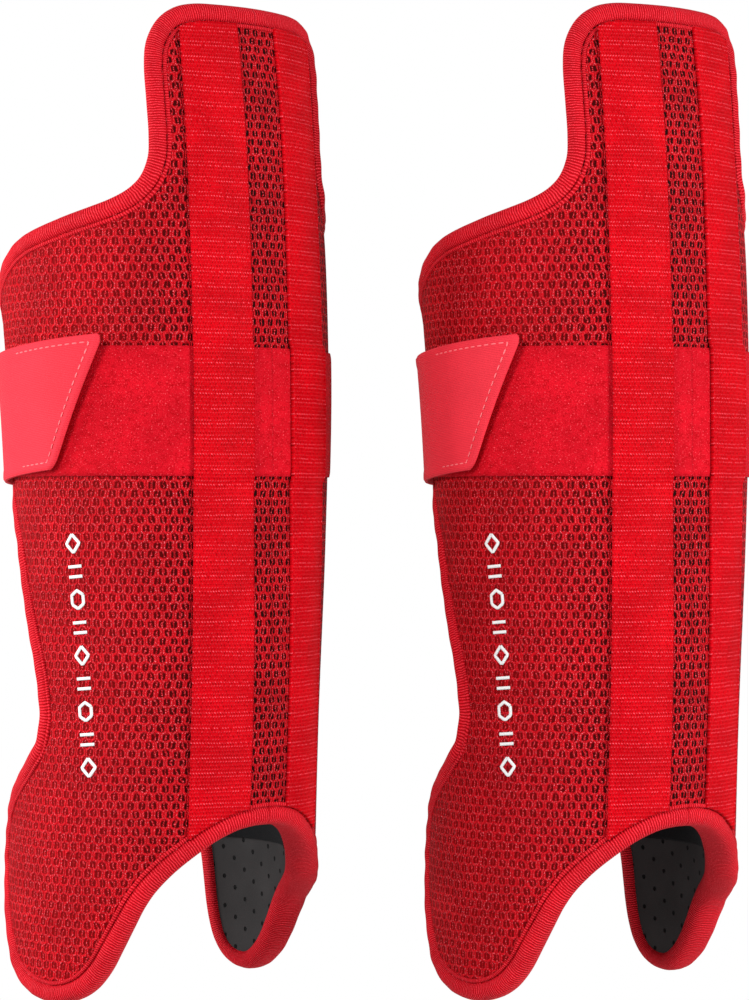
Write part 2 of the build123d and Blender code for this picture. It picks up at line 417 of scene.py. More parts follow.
    def rows(self, inset: float, low: float, high: float) -> np.ndarray:
        """Heights that follow the edge closely where it runs level."""
        path = self.moved(inset)
        heights = np.concatenate([path[::2, 1], np.arange(low, high, 3.0), [low, high]])
        limit_low = max(low, path[:, 1].min() + 0.5)
        limit_high = min(high, path[:, 1].max() - 0.05)
        heights = np.unique(np.clip(heights, limit_low, limit_high))
        keep = np.concatenate([[True], np.diff(np.floor(heights / 0.35)) > 0])
        keep[-1] = True
        return heights[keep]

    def distance(self, s: np.ndarray, z: np.ndarray) -> np.ndarray:
        """How far points of the panel lie from its edge."""
        path = self.path[::3]
        flat = np.stack([s.ravel(), z.ravel()], 1)
        gap = np.hypot(flat[:, None, 0] - path[None, :, 0], flat[:, None, 1] - path[None, :, 1])
        return gap.min(axis=1).reshape(s.shape)


@dataclass(frozen=True)
class Place:
    """Where one guard stands: its name, leg axis and turn about it."""

    name: str
    x: float
    turn: float

    def row(self, points: np.ndarray) -> np.ndarray:
        """Points about the leg axis in millimetres, as row points in metres."""
        c, s = math.cos(math.radians(self.turn)), math.sin(math.radians(self.turn))
        x = points[..., 0] * c - points[..., 1] * s + self.x
        y = points[..., 0] * s + points[..., 1] * c
        return np.stack([x, y, points[..., 2]], axis=-1) / 1000


@dataclass
class Skin:
    """A mesh as arrays: points in millimetres, quads and a UV in millimetres per point."""

    points: np.ndarray
    quads: np.ndarray
    uv: np.ndarray

    @staticmethod
    def grid_quads(rows: int, columns: int, start: int = 0) -> np.ndarray:
        """Quads of a rows by columns grid whose points run row by row."""
        r, c = np.meshgrid(np.arange(rows - 1), np.arange(columns - 1), indexing="ij")
        first = (r * columns + c).ravel() + start
        return np.stack([first, first + 1, first + columns + 1, first + columns], 1)

    @classmethod
    def slab(cls, front: np.ndarray, back: np.ndarray, uv: np.ndarray) -> "Skin":
        """A closed sheet between two grids of the same size.

        Args:
            front: rows by columns by 3 points of one face.
            back: the other face's points.
            uv: rows by columns by 2, shared by both faces.

        Returns:
            The closed skin, its faces outward.
        """
        rows, columns = front.shape[:2]
        count = rows * columns
        ids = np.arange(count).reshape(rows, columns)
        rim = np.concatenate([ids[0, :-1], ids[:-1, -1], ids[-1, :0:-1], ids[:0:-1, 0]])
        nxt = np.roll(rim, -1)
        wall = np.stack([rim, rim + count, nxt + count, nxt], 1)
        quads = np.vstack(
            [cls.grid_quads(rows, columns), cls.grid_quads(rows, columns, count)[:, ::-1], wall]
        )
        points = np.vstack([front.reshape(-1, 3), back.reshape(-1, 3)])
        both = np.vstack([uv.reshape(-1, 2), uv.reshape(-1, 2)])
        return cls(points, quads, both).outward()

    @classmethod
    def tube(cls, rings: np.ndarray, uv: np.ndarray) -> "Skin":
        """A profile carried along a path: rings by profile points by 3, ends closed."""
        rows, columns = rings.shape[:2]
        ids = np.arange(rows * columns).reshape(rows, columns)
        wrapped = np.concatenate([ids, ids[:, :1]], axis=1)
        quads = np.stack(
            [wrapped[:-1, :-1], wrapped[:-1, 1:], wrapped[1:, 1:], wrapped[1:, :-1]], -1
        ).reshape(-1, 4)
        middle = rings[[0, -1]].mean(axis=1)
        points = np.vstack([rings.reshape(-1, 3), middle])
        count = rows * columns
        caps = []
        for ring, hub, flip in ((ids[0], count, 1), (ids[-1], count + 1, -1)):
            a, b = ring[::2], np.roll(ring, -1)[::2]
            c = np.roll(ring, -2)[::2]
            fan = np.stack([a, b, c, np.full_like(a, hub)], 1)
            caps.append(fan[:, ::-1] if flip > 0 else fan)
        flat = np.vstack([uv.reshape(-1, 2), uv[0].mean(0), uv[-1].mean(0)])
        return cls(points, np.vstack([quads, *caps]), flat).outward()

    def outward(self) -> "Skin":
        """The same skin with its faces turned out, by the sign of its volume."""
        p = self.points[self.quads]
        volume = np.einsum("ij,ij->i", p[:, 0], np.cross(p[:, 1], p[:, 2])).sum()
        volume += np.einsum("ij,ij->i", p[:, 0], np.cross(p[:, 2], p[:, 3])).sum()
        if volume < 0:
            self.quads = self.quads[:, ::-1]
        return self

    def joined(self, *others: "Skin") -> "Skin":
        """This skin and others as one."""
        parts = [self, *others]
        starts = np.cumsum([0] + [len(part.points) for part in parts[:-1]])
        return Skin(
            np.vstack([part.points for part in parts]),
            np.vstack([part.quads + start for part, start in zip(parts, starts)]),
            np.vstack([part.uv for part in parts]),
        )

    def build(self, name: str, place: Place, material: bpy.types.Material) -> bpy.types.Object:
        """Puts the skin into the scene.

        Args:
            name: the object's name, without the guard's.
            place: the guard's place.
            material: the finish it wears.

        Returns:
            The new object, at the origin with its place in its mesh.
        """
        title = f"{place.name}_{name}_skin"
        mesh = bpy.data.meshes.new(title)
        mesh.from_pydata(place.row(self.points).tolist(), [], self.quads.tolist())
        layer = mesh.uv_layers.new(name="Cloth")
        corners = np.empty(len(mesh.loops), dtype=np.int32)
        mesh.loops.foreach_get("vertex_index", corners)
        layer.data.foreach_set("uv", (self.uv[corners] / 100).astype(np.float32).ravel())
        mesh.polygons.foreach_set("use_smooth", np.ones(len(mesh.polygons), dtype=bool))
        mesh.materials.append(material)
        mesh.update()
        item = placed(title, mesh)
        log.info("%s: %d faces", title, len(mesh.polygons))
        return item


def ramp01(value: np.ndarray, low: float, high: float) -> np.ndarray:
    """Smooth step from 0 at low to 1 at high: 3 t t - 2 t t t."""
    t = np.clip((value - low) / (high - low), 0, 1)
    return t * t * (3 - 2 * t)


def ripple(s: np.ndarray, z: np.ndarray) -> np.ndarray:
    """A gentle unevenness of soft goods: a few long crossed sine waves, about +-1."""
    wave = np.sin(s / 23 + 0.8 * np.sin(z / 41)) * np.sin(z / 37 + 1.3)
    wave = wave + 0.5 * np.sin(s / 11 - z / 29 + 0.6) + 0.35 * np.sin(z / 13 + s / 47)
    return wave / 1.6


# ---------------------------------------------------------------------------------------
# finishes
# ---------------------------------------------------------------------------------------

Colour = tuple[float, float, float]
Socket = bpy.types.NodeSocket


class Desk:
    """Short ways to add the nodes of one node tree."""

    def __init__(self, tree: bpy.types.NodeTree) -> None:
        """Starts on an empty tree."""
        self.tree = tree

    def node(self, kind: str, **settings: object) -> bpy.types.Node:
        """Adds a node and sets its properties."""
        item = self.tree.nodes.new(kind)
        for name, value in settings.items():
            setattr(item, name, value)
        return item

    def feed(self, socket: Socket, value: object) -> None:
        """Links a socket, or sets its value."""
        if isinstance(value, bpy.types.NodeSocket):
            self.tree.links.new(value, socket)
        else:
            socket.default_value = value

    def math(self, operation: str, *values: object) -> Socket:
        """A math node on one to three values."""
        item = self.node("ShaderNodeMath", operation=operation)
        for socket, value in zip(item.inputs, values):
            self.feed(socket, value)
        return item.outputs[0]

    def times(self, first: object, second: object) -> Socket:
        """The product of two values."""
        return self.math("MULTIPLY", first, second)

    def less(self, first: object, second: object) -> Socket:
        """The first value less the second."""
        return self.math("SUBTRACT", first, second)

    def madd(self, first: object, second: object, third: object) -> Socket:
        """The product of two values, plus a third."""
        return self.math("MULTIPLY_ADD", first, second, third)

    def surface(self, shader: bpy.types.Node, height: Socket, relief: float,
                strength: float = 1.0) -> None:
        """Ends a material: the shader under a relief of some depth in metres."""
        bump = self.node("ShaderNodeBump")
        bump.inputs["Strength"].default_value = strength
        bump.inputs["Distance"].default_value = relief
        self.feed(bump.inputs["Height"], height)
        self.feed(shader.inputs["Normal"], bump.outputs["Normal"])
        output = self.node("ShaderNodeOutputMaterial")
        self.feed(output.inputs["Surface"], shader.outputs[0])

    def step(self, value: Socket, low: float, high: float, top: float = 1.0) -> Socket:
        """A smooth step of a value from 0 at low to top at high."""
        item = self.node("ShaderNodeMapRange", interpolation_type="SMOOTHSTEP")
        self.feed(item.inputs["Value"], value)
        item.inputs["From Min"].default_value = low
        item.inputs["From Max"].default_value = high
        item.inputs["To Max"].default_value = top
        return item.outputs["Result"]

    def blend(self, amount: object, first: object, second: object) -> Socket:
        """A colour between two, the second at amount 1."""
        item = self.node("ShaderNodeMix", data_type="RGBA")
        self.feed(item.inputs[0], amount)
        for socket, value in ((item.inputs[6], first), (item.inputs[7], second)):
            self.feed(socket, (*value, 1.0) if isinstance(value, tuple) else value)
        return item.outputs[2]

    def noise(self, vector: Socket, scale: float, detail: float = 2.0) -> Socket:
        """Noise about 0.5, of a scale in turns per millimetre."""
        item = self.node("ShaderNodeTexNoise")
        self.feed(item.inputs["Vector"], vector)
        item.inputs["Scale"].default_value = scale
        item.inputs["Detail"].default_value = detail
        return item.outputs["Fac"]

    def split(self, vector: Socket) -> tuple[Socket, Socket]:
        """A vector's first two parts."""
        item = self.node("ShaderNodeSeparateXYZ")
        self.feed(item.inputs[0], vector)
        return item.outputs[0], item.outputs[1]

    def cloth(self) -> Socket:
        """The piece's own map, in millimetres along and across its cloth."""
        flat = self.node("ShaderNodeUVMap", uv_map="Cloth")
        grown = self.node("ShaderNodeVectorMath", operation="SCALE")
        self.feed(grown.inputs[0], flat.outputs[0])
        grown.inputs["Scale"].default_value = 100.0
        return grown.outputs[0]

    def wave(self, value: Socket, pitch: float) -> Socket:
        """A sine wave from 0 to 1 of a pitch in millimetres."""
        turned = self.math("MULTIPLY", value, 2 * math.pi / pitch)
        return self.math("MULTIPLY_ADD", self.math("SINE", turned), 0.5, 0.5)


class Weave(Enum):
    """The shared cloth patterns, each a node group with the same sockets."""

    HONEYCOMB = "honeycomb_net"
    RIBBED = "ribbed_binding"
    HOOKS = "hook_rows"
    PILE = "loop_pile"
    GRAINED = "grained_strap"
    PERFORATED = "perforated_foam"
    KNIT = "brushed_knit"

    def group(self) -> bpy.types.NodeTree:
        """The pattern's node group, made once.

        Its input is the cloth vector in millimetres. Its outputs are Shade, a mask of
        painted shade, 0 in the pattern's hollows and 1 on its yarn, Glint, a mask of
        painted highlight, 1 where a yarn catches light, and Height, the relief from 0 to 1.
        """
        found = bpy.data.node_groups.get(self.value)
        if found:
            return found
        tree = bpy.data.node_groups.new(self.value, "ShaderNodeTree")
        tree.interface.new_socket("Cloth", in_out="INPUT", socket_type="NodeSocketVector")
        for name in ("Shade", "Glint", "Height"):
            tree.interface.new_socket(name, in_out="OUTPUT", socket_type="NodeSocketFloat")
        desk = Desk(tree)
        cloth = desk.node("NodeGroupInput").outputs["Cloth"]
        draw = {
            Weave.HONEYCOMB: self._honeycomb,
            Weave.RIBBED: self._ribbed,
            Weave.HOOKS: self._hooks,
            Weave.PILE: self._pile,
            Weave.GRAINED: self._grained,
            Weave.PERFORATED: self._perforated,
            Weave.KNIT: self._knit,
        }[self]
        end = desk.node("NodeGroupOutput")
        for socket, value in zip(end.inputs, draw(desk, cloth)):
            desk.feed(socket, value)
        return tree

    @staticmethod
    def _honeycomb(desk: Desk, cloth: Socket) -> tuple[Socket, Socket, Socket]:
        """Long six-sided cells in staggered rows, each a pair of slits beside a thread.

        The distance h from a cell's middle is the larger of x / 1.45 and
        (0.42 x + y) / 1.72: the cell is open where h is below 0.9, its rim of doubled
        cords rides at h = 1.2, and a thin thread runs up its middle. Painted shade
        darkens the groove where neighbouring columns of cells meet.
        """
        u, v = desk.split(cloth)
        loose = desk.noise(cloth, 0.3, 2.0)
        u = desk.madd(desk.less(loose, 0.5), 1.5, u)
        drift = desk.noise(cloth, 0.17, 1.0)
        v = desk.madd(desk.less(drift, 0.5), 1.6, v)
        rows = desk.math("DIVIDE", v, 3.47)
        row = desk.math("FLOOR", rows)
        y = desk.math("ABSOLUTE", desk.less(desk.math("FRACT", rows), 0.5))
        y = desk.times(y, 3.47)
        shift = desk.times(desk.math("FLOORED_MODULO", row, 2.0), 0.5)
        column = desk.math("FRACT", desk.math("ADD", desk.math("DIVIDE", u, 4.5), shift))
        offset = desk.times(desk.less(column, 0.5), 4.5)
        x = desk.math("ABSOLUTE", offset)
        side = desk.math("DIVIDE", x, 1.45)
        roof = desk.math("DIVIDE", desk.madd(x, 0.42, y), 1.72)
        h = desk.math("SMOOTH_MAX", side, roof, 0.15)
        open_ = desk.step(h, 1.0, 0.8)
        ridge = desk.step(desk.math("ABSOLUTE", desk.less(h, 1.22)), 0.26, 0.02)
        fuzz = desk.noise(cloth, 1.7, 3.0)
        sway = desk.madd(desk.less(loose, 0.5), 1.6, offset)
        thread = desk.step(desk.math("ABSOLUTE", sway), 0.5, 0.22)
        thread = desk.times(thread, desk.step(fuzz, 0.3, 0.55))
        cover = desk.less(1.0, open_)
        # painted shade in the groove where neighbouring columns of cells meet
        groove_shade = desk.step(x, 2.0, 2.22)
        cover = desk.madd(groove_shade, -0.45, cover)
        shade = desk.math("MAXIMUM", cover, desk.times(thread, 0.72))
        twist = desk.wave(desk.math("ADD", v, desk.times(x, 1.4)), 0.9)
        catch = desk.times(desk.step(fuzz, 0.5, 0.68), desk.step(twist, 0.2, 0.8))
        glint = desk.times(desk.math("MAXIMUM", ridge, desk.times(thread, 0.5)), catch)
        height = desk.madd(ridge, 0.5, desk.times(shade, 0.5))
        height = desk.madd(desk.times(twist, ridge), 0.14, height)
        return shade, glint, height

    @staticmethod
    def _ribbed(desk: Desk, cloth: Socket) -> tuple[Socket, Socket, Socket]:
        """Round ribs across a tape, a millimetre apart, each slightly uneven."""
        u, _ = desk.split(cloth)
        sway = desk.times(desk.less(desk.noise(cloth, 0.25), 0.5), 1.3)
        rib = desk.wave(desk.math("ADD", u, sway), 1.02)
        fuzz = desk.noise(cloth, 2.6, 3.0)
        glint = desk.times(desk.step(rib, 0.62, 1.0), desk.step(fuzz, 0.35, 0.7))
        height = desk.madd(fuzz, 0.2, desk.times(rib, 0.8))
        # painted shade between the ribs and painted highlight on their crowns
        return desk.step(rib, -0.25, 0.6), glint, height

    @staticmethod
    def _hooks(desk: Desk, cloth: Socket) -> tuple[Socket, Socket, Socket]:
        """Level rows of small slanted hooks, two bright rows in each 6 mm repeat.

        A hook is the product of a wave along the row, slanted alternately, and a wave
        across the rows; a slower wave makes two rows in four stand out, and noise
        breaks them up. The bright rows are painted highlight, and painted shade
        darkens the pits between the hooks.
        """
        u, v = desk.split(cloth)
        bow = desk.less(desk.noise(cloth, 0.05, 1.0), 0.5)
        v = desk.madd(bow, 1.0, v)
        lean = desk.times(desk.wave(v, 3.04), 0.9)
        along = desk.wave(desk.math("ADD", u, lean), 1.12)
        across = desk.wave(v, 1.52)
        slow = desk.wave(desk.madd(u, 0.05, v), 6.1)
        fuzz = desk.noise(cloth, 0.9, 4.0)
        dot = desk.times(desk.step(along, 0.3, 0.8), desk.step(across, 0.5, 0.95))
        # painted highlight, strong on two rows in four
        strong = desk.madd(desk.math("POWER", slow, 2.0), 0.8, 0.2)
        glint = desk.times(desk.times(dot, strong), desk.step(fuzz, 0.36, 0.6))
        # painted shade in the pits between the hooks
        pit = desk.times(desk.step(across, 0.75, 0.1), desk.step(along, 0.9, 0.2))
        shade = desk.less(1.0, desk.times(pit, desk.step(fuzz, 0.62, 0.4)))
        height = desk.madd(dot, 0.55, desk.times(across, 0.35))
        return shade, glint, height

    @staticmethod
    def _pile(desk: Desk, cloth: Socket) -> tuple[Socket, Socket, Socket]:
        """Tangled loops: fine noise, sharpened, over a coarser matting."""
        fine = desk.noise(cloth, 1.5, 4.0)
        coarse = desk.noise(cloth, 0.35, 2.0)
        both = desk.madd(coarse, 0.4, desk.times(fine, 0.6))
        # painted shade where the loops sink and painted highlight on scattered loop tops
        return desk.step(both, 0.3, 0.56), desk.step(fine, 0.6, 0.76), both

    @staticmethod
    def _grained(desk: Desk, cloth: Socket) -> tuple[Socket, Socket, Socket]:
        """A close fine-grained cloth with faint lengthwise lines."""
        _, v = desk.split(cloth)
        fine = desk.noise(cloth, 3.2, 3.0)
        line = desk.times(desk.wave(v, 0.7), 0.3)
        height = desk.madd(fine, 0.7, line)
        return desk.step(height, 0.1, 0.7), desk.step(fine, 0.58, 0.8, 0.5), height

    @staticmethod
    def _perforated(desk: Desk, cloth: Socket) -> tuple[Socket, Socket, Socket]:
        """Holes 2 mm across on a skinned foam, in upright columns 6.6 mm apart.

        Holes stand 12.9 mm apart in a column, and each column stands 4.75 mm higher
        than the one before.
        """
        u, v = desk.split(cloth)
        columns = desk.math("DIVIDE", u, 6.6)
        which = desk.math("FLOOR", columns)
        x = desk.times(desk.less(desk.math("FRACT", columns), 0.5), 6.6)
        up = desk.math("DIVIDE", desk.madd(which, -4.75, v), 12.9)
        y = desk.times(desk.less(desk.math("FRACT", up), 0.5), 12.9)
        far = desk.math("SQRT", desk.math("ADD", desk.times(x, x), desk.times(y, y)))
        solid = desk.step(far, 0.8, 1.1)
        fine = desk.noise(cloth, 2.4, 3.0)
        height = desk.madd(fine, 0.08, desk.times(solid, 0.9))
        # the holes take the painted shade of the hollow colour
        return solid, desk.step(fine, 0.55, 0.8, 0.5), height

    @staticmethod
    def _knit(desk: Desk, cloth: Socket) -> tuple[Socket, Socket, Socket]:
        """A brushed knit: fine upright wales under a soft nap."""
        u, _ = desk.split(cloth)
        wale = desk.wave(u, 0.9)
        fine = desk.noise(cloth, 1.4, 4.0)
        height = desk.madd(wale, 0.3, desk.times(fine, 0.7))
        return desk.step(height, 0.15, 0.8), desk.step(fine, 0.6, 0.8, 0.6), height


@dataclass(frozen=True)
class ClothFinish:
    """A cloth: a weave in three colours, with a sheen.

    Attributes:
        name: the material's name.
        weave: the shared pattern.
        hollow: the colour deep in the pattern, its painted shade.
        yarn: the main colour.
        glint: the colour of yarn that catches the light.
        relief: depth of the pattern in metres.
        rough: roughness of the yarn.
        sheen: strength of the fuzz at grazing angles.
        sheen_tint: the fuzz's colour.
        mottle: how far the main colour varies over some centimetres.
        deepen: where the hollows' painted shade deepens towards the front centre, its darkest colour.
        gloss: strength of the plain reflection.
    """

    name: str
    weave: Weave
    hollow: Colour
    yarn: Colour
    glint: Colour
    relief: float = 0.0004
    rough: float = 0.7
    sheen: float = 0.3
    sheen_tint: Colour = (1.0, 0.35, 0.38)
    mottle: float = 0.12
    deepen: Colour | None = None
    gloss: float = 0.12

    def material(self) -> bpy.types.Material:
        """The finish as a material, made once."""
        found = bpy.data.materials.get(self.name)
        if found:
            return found
        made = bpy.data.materials.new(self.name)
        made.use_nodes = True
        made.node_tree.nodes.clear()
        desk = Desk(made.node_tree)
        cloth = desk.cloth()
        weave = desk.node("ShaderNodeGroup")
        weave.node_tree = self.weave.group()
        desk.feed(weave.inputs["Cloth"], cloth)
        # the hollows' colour is a painted shade, which can darken further towards the front centre
        hollow: object = self.hollow
        if self.deepen:
            u, _ = desk.split(cloth)
            # painted shade: the hollows are darkest within 20 mm of the front centre, fading out by 95 mm
            near = desk.step(desk.math("ABSOLUTE", u), 95.0, 20.0)
            hollow = desk.blend(near, self.hollow, self.deepen)
        patch = desk.noise(cloth, 0.045, 2.0)
        low = tuple(c * (1 - self.mottle) for c in self.yarn)
        high = tuple(min(1.0, c * (1 + self.mottle)) for c in self.yarn)
        yarn = desk.blend(desk.step(patch, 0.3, 0.7), low, high)
        colour = desk.blend(weave.outputs["Shade"], hollow, yarn)
        colour = desk.blend(weave.outputs["Glint"], colour, self.glint)
        shader = desk.node("ShaderNodeBsdfPrincipled")
        desk.feed(shader.inputs["Base Color"], colour)
        rough = desk.madd(weave.outputs["Glint"], -0.15, self.rough)
        desk.feed(shader.inputs["Roughness"], rough)
        shader.inputs["Specular IOR Level"].default_value = self.gloss
        shader.inputs["Sheen Weight"].default_value = self.sheen
        shader.inputs["Sheen Roughness"].default_value = 0.4
        shader.inputs["Sheen Tint"].default_value = (*self.sheen_tint, 1.0)
        desk.surface(shader, weave.outputs["Height"], self.relief, 0.9)
        return made


@dataclass(frozen=True)
class PlainFinish:
    """A moulded, printed or foam surface: one colour, mottled by fine noise.

    Attributes:
        name: the material's name.
        colour: the base colour.
        rough: its roughness.
        grain: noise scale in turns per metre.
        relief: bump depth in metres.
    """

    name: str
    colour: Colour
    rough: float = 0.6
    grain: float = 900.0
    relief: float = 0.0001

    def material(self) -> bpy.types.Material:
        """The finish as a material, made once."""
        found = bpy.data.materials.get(self.name)
        if found:
            return found
        made = bpy.data.materials.new(self.name)
        made.use_nodes = True
        made.node_tree.nodes.clear()
        desk = Desk(made.node_tree)
        place = desk.node("ShaderNodeTexCoord").outputs["Object"]
        grain = desk.noise(place, self.grain, 3.0)
        dark = tuple(c * 0.86 for c in self.colour)
        shader = desk.node("ShaderNodeBsdfPrincipled")
        desk.feed(shader.inputs["Base Color"], desk.blend(grain, dark, self.colour))
        desk.feed(shader.inputs["Roughness"], desk.madd(grain, 0.15, self.rough - 0.07))
        desk.surface(shader, grain, self.relief)
        return made


# the mesh's hollows take a painted shade, darkest towards the front centre
MESH = ClothFinish(
    "red_spacer_mesh", Weave.HONEYCOMB, (0.2, 0.0, 0.001), (0.7, 0.004, 0.012),
    (1.0, 0.3, 0.35), relief=0.0013, sheen=0.02, deepen=(0.012, 0.0, 0.0), gloss=0.05,
)
BINDING = ClothFinish(
    "red_ribbed_binding", Weave.RIBBED, (0.24, 0.0, 0.001), (0.62, 0.003, 0.012),
    (0.95, 0.07, 0.1), relief=0.00034, rough=0.6, sheen=0.03, gloss=0.06,
)
HOOKS = ClothFinish(
    "red_hook_tape", Weave.HOOKS, (0.24, 0.0, 0.001), (0.56, 0.0, 0.005),
    (0.95, 0.1, 0.14), relief=0.0004, rough=0.6, sheen=0.02, gloss=0.04,
)
LOOPS = ClothFinish(
    "red_loop_band", Weave.PILE, (0.36, 0.0, 0.003), (0.58, 0.004, 0.014),
    (0.92, 0.12, 0.15), relief=0.0007, rough=0.75, sheen=0.05, gloss=0.05,
)
STRAPPING = ClothFinish(
    "red_strap", Weave.GRAINED, (0.56, 0.018, 0.032), (0.8, 0.038, 0.06),
    (0.95, 0.12, 0.15), relief=0.00018, rough=0.6, sheen=0.05, mottle=0.05, gloss=0.06,
)
THREAD = ClothFinish(
    "red_thread", Weave.GRAINED, (0.8, 0.1, 0.12), (0.95, 0.2, 0.22),
    (1.0, 0.42, 0.42), relief=0.0001, rough=0.5, sheen=0.05,
)
LINING = ClothFinish(
    "black_lining", Weave.KNIT, (0.002, 0.002, 0.002), (0.007, 0.007, 0.008),
    (0.03, 0.03, 0.032), relief=0.0003, rough=0.85, sheen=0.05, sheen_tint=(0.6, 0.6, 0.62),
)
ANKLE = ClothFinish(
    "dark_perforated_lining", Weave.PERFORATED, (0.001, 0.001, 0.001), (0.034, 0.031, 0.031),
    (0.09, 0.08, 0.08), relief=0.0009, rough=0.6, sheen=0.02, sheen_tint=(0.7, 0.7, 0.7),
    gloss=0.08,
)
FOAM = PlainFinish("grey_foam", (0.1, 0.1, 0.11), rough=0.85)
PLATE = PlainFinish("black_plate", (0.02, 0.02, 0.022), rough=0.45)
PRINT = PlainFinish("white_print", (0.83, 0.87, 0.86), rough=0.5, relief=0.00005)
FLOOR = PlainFinish("pale_floor", (0.85, 0.85, 0.85), rough=0.8, grain=3.0)


# ---------------------------------------------------------------------------------------
# sub-assemblies
# ---------------------------------------------------------------------------------------


@dataclass(frozen=True)
class Bench:
    """What every sub-assembly of a guard needs.

    Attributes:
        place: where the guard stands.
        form: its leg form.
        outline: the edge of its halves.
    """

    place: Place
    form: LegForm
    outline: Outline

    def spot(self, degrees: float, z: float, out: float = 0.0) -> Row:
        """A row point on the form at an angle round it."""
        s = self.form.arc(np.array(degrees), np.array(z))
        return tuple(self.place.row(self.form.point(s, z, out)).tolist())

    def layer(self, s: np.ndarray, z: np.ndarray, outer: np.ndarray, inner: np.ndarray) -> Skin:
        """A closed sheet over the form between two distances out from it."""
        front, back = (self.form.point(s, z, out) for out in (outer, inner))
        return Skin.slab(front, back, np.stack([s, z], -1))

    def node(self, name: str) -> str:
        """A CAD node's or body's full name on this guard."""
        return f"{self.place.name}_{name}"

    def fold(self, item: bpy.types.Object, side: Side) -> None:
        """Lets a piece bend where a wing folds from the front."""
        start = self.spot(FOLD_FROM * side.value, FOLD_HEIGHT)
        end = self.spot(FOLD_TO * side.value, FOLD_HEIGHT)
        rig.blend(item, self.node("front"), self.node(f"{side.word}_wing"), start=start, end=end)


@dataclass
class PaddedShell:
    """One half of a guard's padded shell: mesh cover, foam and linings.

    Attributes:
        bench: the guard it belongs to.
        side: which half.
        cover_thick: the spacer mesh.
        foam: offsets of the foam's two faces.
        lining: offsets of the shin and calf lining's faces.
        ankle: offsets of the ankle lining's faces.
        step_height: where the thick lining ends above the ankle.
        crown: how far the cover stands up between its bound edges.
        columns: points across each row.
    """

    bench: Bench
    side: Side
    cover_thick: float = 3.0
    foam: tuple[float, float] = (-3.2, -8.9)
    lining: tuple[float, float] = (-9.2, -13.0)
    ankle: tuple[float, float] = (-9.2, -11.0)
    step_height: float = 58.0
    crown: float = CROWN
    columns: int = 64

    def field(self, inset: float, low: float, high: float) -> tuple[np.ndarray, np.ndarray]:
        """Length and height of a grid that fills the half between two heights."""
        outline = self.bench.outline
        z = outline.rows(inset, low, high)
        inner, outer = outline.span(z, inset)
        t = np.linspace(0, 1, self.columns)[None, :]
        s = inner[:, None] + t * (outer - inner)[:, None]
        return s, np.repeat(z[:, None], self.columns, axis=1)

    def sheet(self, inset: float, low: float, high: float, faces: tuple[float, float],
              swell: float) -> Skin:
        """A closed layer of the shell.

        Its outer face stands at faces[0] + swell (1 - exp(-d / 9)) - 0.9 exp(-d / 3) plus
        a ripple, d being the distance from the edge, and its inner face at faces[1].

        Args:
            inset: how far inside the outline it stops.
            low: its lowest height.
            high: its greatest height.
            faces: offsets of its two faces.
            swell: how far its outer face crowns.

        Returns:
            The layer's skin.
        """
        s, z = self.field(inset, low, high)
        gap = self.bench.outline.distance(s, z)
        signed = s * self.side.value
        soft = abs(np.sign(swell))
        lift = swell * (1 - np.exp(-gap / CROWN_REACH)) - 0.9 * soft * np.exp(-gap / 3)
        lift = lift + UNEVEN * soft * ripple(signed, z)
        return self.bench.layer(signed, z, faces[0] + lift, faces[1])

    def build(self) -> dict[str, bpy.types.Object]:
        """Makes the half's four layers.

        Returns:
            The pieces by layer name.
        """
        place, side = self.bench.place, self.side
        wing = f"{side.word}_"
        top = 404.0
        cover = self.sheet(4.0, 0.0, top, (COVER_REST, -self.cover_thick), self.crown)
        foam = self.sheet(9.8, 0.0, top, self.foam, 0.0)
        lining = self.sheet(6.0, self.step_height, top, self.lining, 0.0)
        ankle = self.sheet(7.0, 0.0, self.step_height - 0.3, self.ankle, 0.0)
        made = {
            "cover": cover.build(f"{wing}mesh_cover", place, MESH.material()),
            "foam": foam.build(f"{wing}foam", place, FOAM.material()),
            "lining": lining.build(f"{wing}lining", place, LINING.material()),
            "ankle": ankle.build(f"{wing}ankle_lining", place, ANKLE.material()),
        }
        node = self.bench.node
        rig.replaces(made["cover"], node("front_cover"), node(f"{wing}wing_cover"))
        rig.replaces(made["foam"], node("shin_foam"), node(f"{wing}wing_foam"))
        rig.replaces(made["lining"], node("front_liner"), node(f"{wing}calf_liner"))
        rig.replaces(made["ankle"], node(f"{wing}ankle_liner"))
        slots = {"cover": "spacer_mesh", "foam": "foam", "lining": "lining",
                 "ankle": "perforated_lining"}
        for name, item in made.items():
            self.bench.fold(item, side)
            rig.slot(item, slots[name])
            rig.padded(item, fill=0.8)
        return made


